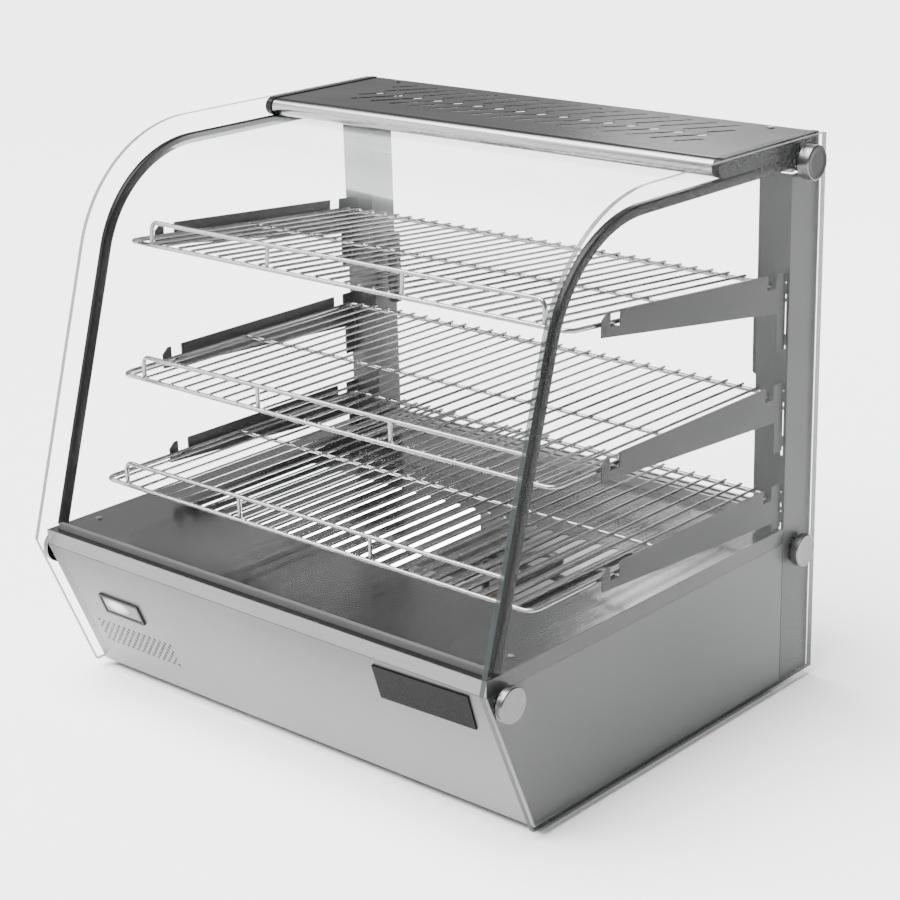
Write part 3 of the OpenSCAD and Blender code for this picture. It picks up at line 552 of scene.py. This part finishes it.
def outline(inset, low_z, rear_y):
    """Points (y, z) and outward normals, from low_z up the lean, round the bend and back to rear_y.

    On the bend a point is the centre plus the shrunken radius times
    (-cos a, sin a), with a running from the lean to a right angle."""
    radius = BEND - inset
    a = np.linspace(LEAN, math.pi / 2, BEND_STEPS)
    normal = np.stack([-np.cos(a), np.sin(a)], 1)
    bend = np.array([CENTRE_Y, CENTRE_Z]) + radius * normal
    up = (bend[0, 1] - low_z) * np.linspace(1, 0, STRAIGHT_STEPS)[:-1, None]
    lean = bend[0] - up * np.array([math.tan(LEAN), 1.0])
    back = np.linspace(CENTRE_Y, rear_y, STRAIGHT_STEPS)[1:]
    level = np.stack([back, np.full(back.size, bend[-1, 1])], 1)
    points = np.concatenate([lean, bend, level])
    lean_normals = np.repeat(normal[:1], len(lean), 0)
    level_normals = np.repeat(normal[-1:], len(level), 0)
    return points, np.concatenate([lean_normals, normal, level_normals])


print("outline points:", len(outline(0, NOSE[1], 0.1)[0]))


# %% [markdown]
# A bar or a bent pane is a section carried along the outline. The section is
# given across (along X) and outwards (along the normal), so the whole surface
# is one array: point plus across plus outwards, for every pair of a place on
# the path and a corner of the section. The two ends are closed with a face.

# %% Carrying a section along the outline
def carried(name, points, normals, section):
    """Position = path point + outward normal x section height, with X from the section's width."""
    across, out = section[:, 0], section[:, 1]
    path = points[:, None, :] + normals[:, None, :] * out[None, :, None]
    grid = np.concatenate([np.broadcast_to(across[None, :, None], (*path.shape[:2], 1)), path], 2)
    rows, columns = grid.shape[:2]
    faces = grid_faces(rows, columns, closed=True)
    faces += [list(range(columns))[::-1], list(range((rows - 1) * columns, rows * columns))]
    return mesh_piece(name, grid.reshape(-1, 3), faces)


def round_section(x0, x1, low, high, radius, steps):
    """A rectangle with round corners, as points going once round."""
    a = np.linspace(0, math.pi / 2, steps)
    corner = np.stack([np.cos(a), np.sin(a)], 1) * radius
    quarters = np.arange(4) * math.pi / 2
    turns = [np.array([[math.cos(t), -math.sin(t)], [math.sin(t), math.cos(t)]]) for t in quarters]
    middles = [(x1 - radius, high - radius), (x0 + radius, high - radius),
               (x0 + radius, low + radius), (x1 - radius, low + radius)]
    return np.concatenate([np.array(m) + corner @ t.T for m, t in zip(middles, turns)])


def outward(piece):
    """Turns the faces outwards, for a closed shape whose winding may have been reversed."""
    work = bmesh.new()
    work.from_mesh(piece.data)
    bmesh.ops.recalc_face_normals(work, faces=work.faces)
    work.to_mesh(piece.data)
    work.free()
    return piece


def dress(piece, body, node, slot, *materials):
    """Puts the finishes on a piece, makes it ride on its body and stand for its node."""
    for material in materials:
        piece.data.materials.append(material)
    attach(piece, body)
    if node:
        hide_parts(node)
    return outward(piece)


# %% [markdown]
# The front pane is one sheet of glass, bent while hot. It stands in the seal
# on the rim and runs back under the hood's rolled edge. Its cut ends at the
# two sides are ground, so those narrow faces get the denser finish.

# %% The front pane
GLASS_INSET, GLASS_T = 21.5 * MM, 5 * MM
pane_low, pane_high = (np.array(v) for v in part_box("front_glass"))


def ground_edges(piece, least, clear_across=False):
    """Gives the second finish to the faces that look left or right, or to all the others instead."""
    normal = np.empty(len(piece.data.polygons) * 3)
    piece.data.polygons.foreach_get("normal", normal)
    across = np.abs(normal.reshape(-1, 3)[:, 0]) > least
    second = ~across if clear_across else across
    piece.data.polygons.foreach_set("material_index", second.astype(np.int32))
    piece.data.update()
    return int(across.sum())


def make_front_pane():
    half = (pane_high[0] - pane_low[0]) / 2
    points, normals = outline(GLASS_INSET + GLASS_T / 2, pane_low[2] + 1 * MM, pane_high[1])
    section = round_section(-half, half, -GLASS_T / 2, GLASS_T / 2, 0.8 * MM, 3)
    return carried("front_pane", points, normals, section)


front_pane = dress(make_front_pane(), "case", "front_glass", "clear_glass", pane_glass, pane_edge)
print("front pane, ground faces:", ground_edges(front_pane, 0.5))

# %% [markdown]
# The side plates are thick and flat, with polished edges. Their outline is
# the same lean and bend, closed by a slanted cut at the bottom front. Each
# plate is that loop twice, at its inner and outer face, with a thin bevel.

# %% The side plates
PLATE_FOOT_Y = -213 * MM


def plate_loop():
    """The outline from the bottom front corner, up and over, and down the back."""
    upper, _ = outline(0, NOSE[1], PLATE_HIGH[1])
    front_foot = np.array([[PLATE_FOOT_Y, PLATE_LOW[2]]])
    rear_foot = np.array([[PLATE_HIGH[1], PLATE_LOW[2]]])
    return np.concatenate([front_foot, upper, rear_foot])


def flat_piece(name, loop, x0, x1):
    """A loop of (y, z) points at x0 and again at x1, joined round the edge and closed by two flat faces."""
    n = len(loop)
    points = np.concatenate([np.column_stack([np.full(n, x), loop]) for x in (x0, x1)])
    sides = [[k, (k + 1) % n, (k + 1) % n + n, k + n] for k in range(n)]
    return mesh_piece(name, points, sides + [list(range(n))[::-1], list(range(n, 2 * n))])


def bevelled(piece, width):
    """Rounds the edges that are sharper than 40 degrees."""
    rounding = piece.modifiers.new("bevel", "BEVEL")
    rounding.width, rounding.segments = width, 2
    rounding.limit_method, rounding.angle_limit = "ANGLE", math.radians(40)
    rounding.harden_normals = False
    return piece


for side, sign in (("left", -1), ("right", 1)):
    x0, x1 = sorted((sign * PLATE_LOW[0], sign * PLATE_HIGH[0]))
    plate = flat_piece(f"plate_{side}", plate_loop(), x0, x1)
    dress(plate, "case", f"side_glass_{side}", "clear_glass", pane_glass, pane_edge)
    print("plate", side, "flat faces:", ground_edges(plate, 0.5, clear_across=True))
    bevelled(plate, 0.5 * MM)

# %% [markdown]
# The bars are black lacquered steel, as deep as a finger is thick, with round
# edges that catch the light in a long line. Each ends in a flat eye round the
# rear fixing.

# %% The trim bars
BAR_INSET, BAR_DEPTH, BAR_ROUNDING, EYE_T = 20.5 * MM, 11.5 * MM, 2.2 * MM, 3 * MM


def make_bar(side):
    low, high = (np.array(v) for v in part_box(f"trim_bar_{side}"))
    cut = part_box("door_track_top")[0][1] - 1 * MM
    points, normals = outline(BAR_INSET + BAR_DEPTH / 2, low[2] + 2 * MM, cut)
    section = round_section(low[0], high[0], -BAR_DEPTH / 2, BAR_DEPTH / 2, BAR_ROUNDING, 5)
    return carried(f"bar_{side}", points, normals, section)


for side in ("left", "right"):
    bar = dress(make_bar(side), "case", f"trim_bar_{side}", "black_trim", black_lacquer)
    print("bar", side, "faces:", len(bar.data.polygons))

# %% The eyes at the bars' rear ends
def make_eye(side):
    """A flat tab from the bar's end to half a turn round the fixing, carried through its thickness."""
    low, high = (np.array(v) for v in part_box(f"trim_bar_{side}"))
    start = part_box("door_track_top")[0][1] - 1.5 * MM
    top, bottom = high[2], high[2] - BAR_DEPTH
    a = np.linspace(math.pi / 2, -math.pi / 2, 16)
    middle = (top + bottom) / 2
    radius = BAR_DEPTH / 2
    round_end = np.stack([high[1] - radius + radius * np.cos(a), middle + radius * np.sin(a)], 1)
    loop = np.concatenate([[[start, bottom], [start, top]], round_end])
    x0, x1 = (low[0], low[0] + EYE_T) if side == "left" else (high[0] - EYE_T, high[0])
    return flat_piece(f"bar_eye_{side}", loop, x0, x1)


for side in ("left", "right"):
    eye = dress(make_eye(side), "case", f"trim_bar_{side}", "black_trim", black_lacquer)
    bevelled(eye, 0.4 * MM)
print("eyes: 2")

# %% [markdown]
# The fixings are turned from bar on a lathe. A turned part is a curve spun
# about an axis: each point of the curve keeps its distance from the axis and
# its place along it. The map stores that distance, for the turned rings.

# %% Turned caps
def turned_piece(name, centre, axis_sign, curve):
    """Position = centre + distance x (cos t, sin t) in Y and Z, with X from the curve's second value."""
    steps = 64
    t = np.linspace(0, 2 * math.pi, steps, endpoint=False)
    r, x = curve[:, 0], curve[:, 1]
    grid = np.stack([np.broadcast_to(centre[0] + axis_sign * x[:, None], (len(r), steps)),
                     centre[1] + r[:, None] * np.cos(t), centre[2] + r[:, None] * np.sin(t)], 2)
    points = grid.reshape(-1, 3)
    faces = grid_faces(len(r), steps, closed=True)
    faces += [list(range(steps)), list(range((len(r) - 1) * steps, len(r) * steps))[::-1]]
    return mesh_piece(name, points, faces)


def map_by_distance(piece, centre):
    """A map whose first value is the distance from the axis in decimetres."""
    mesh = piece.data
    layer = mesh.uv_layers.new(name="around")
    corner = np.empty(len(mesh.loops), dtype=np.int32)
    mesh.loops.foreach_get("vertex_index", corner)
    place = np.empty(len(mesh.vertices) * 3)
    mesh.vertices.foreach_get("co", place)
    place = place.reshape(-1, 3)[corner]
    distance = np.hypot(place[:, 1] - centre[1], place[:, 2] - centre[2]) * 10
    layer.data.foreach_set("uv", np.stack([distance, place[:, 0]], 1).ravel())


LAND, RECESS = 0.86, 0.5 * MM


def cap_curve(radius, height, edge):
    """Up the rim, round its edge as a quarter circle, across a narrow land, then in over a sunk face."""
    a = np.linspace(0, math.pi / 2, 7)
    rim = np.stack([radius - edge + edge * np.cos(a), height - edge + edge * np.sin(a)], 1)
    inner = radius - edge
    r = np.linspace(inner, 0.6 * MM, 9)[1:]
    face = np.stack([r, height - np.where(r > LAND * inner, 0.0, RECESS)], 1)
    return np.concatenate([[[radius, 0.0]], rim, face])


CAP_R = 18.6 * MM
PLATE_OUT = PLATE_HIGH[0]
FIXINGS = {"front": (-248.5 * MM, 163.2 * MM, 8 * MM), "rear": (253 * MM, 162 * MM, 8 * MM),
           "top": (246.5 * MM, 597 * MM, 13 * MM)}
for side, sign in (("left", -1), ("right", 1)):
    for place, (y, z, height) in FIXINGS.items():
        centre = (sign * PLATE_OUT, y, z)
        cap = turned_piece(f"cap_{place}_{side}", centre, sign, cap_curve(CAP_R, height, 1.6 * MM))
        map_by_distance(cap, centre)
        dress(cap, "case", "fixing_caps", "chrome", turned_steel, turned_dark)
        if place == "top":
            ground_edges(cap, 0.95)
print("caps:", 2 * len(FIXINGS))
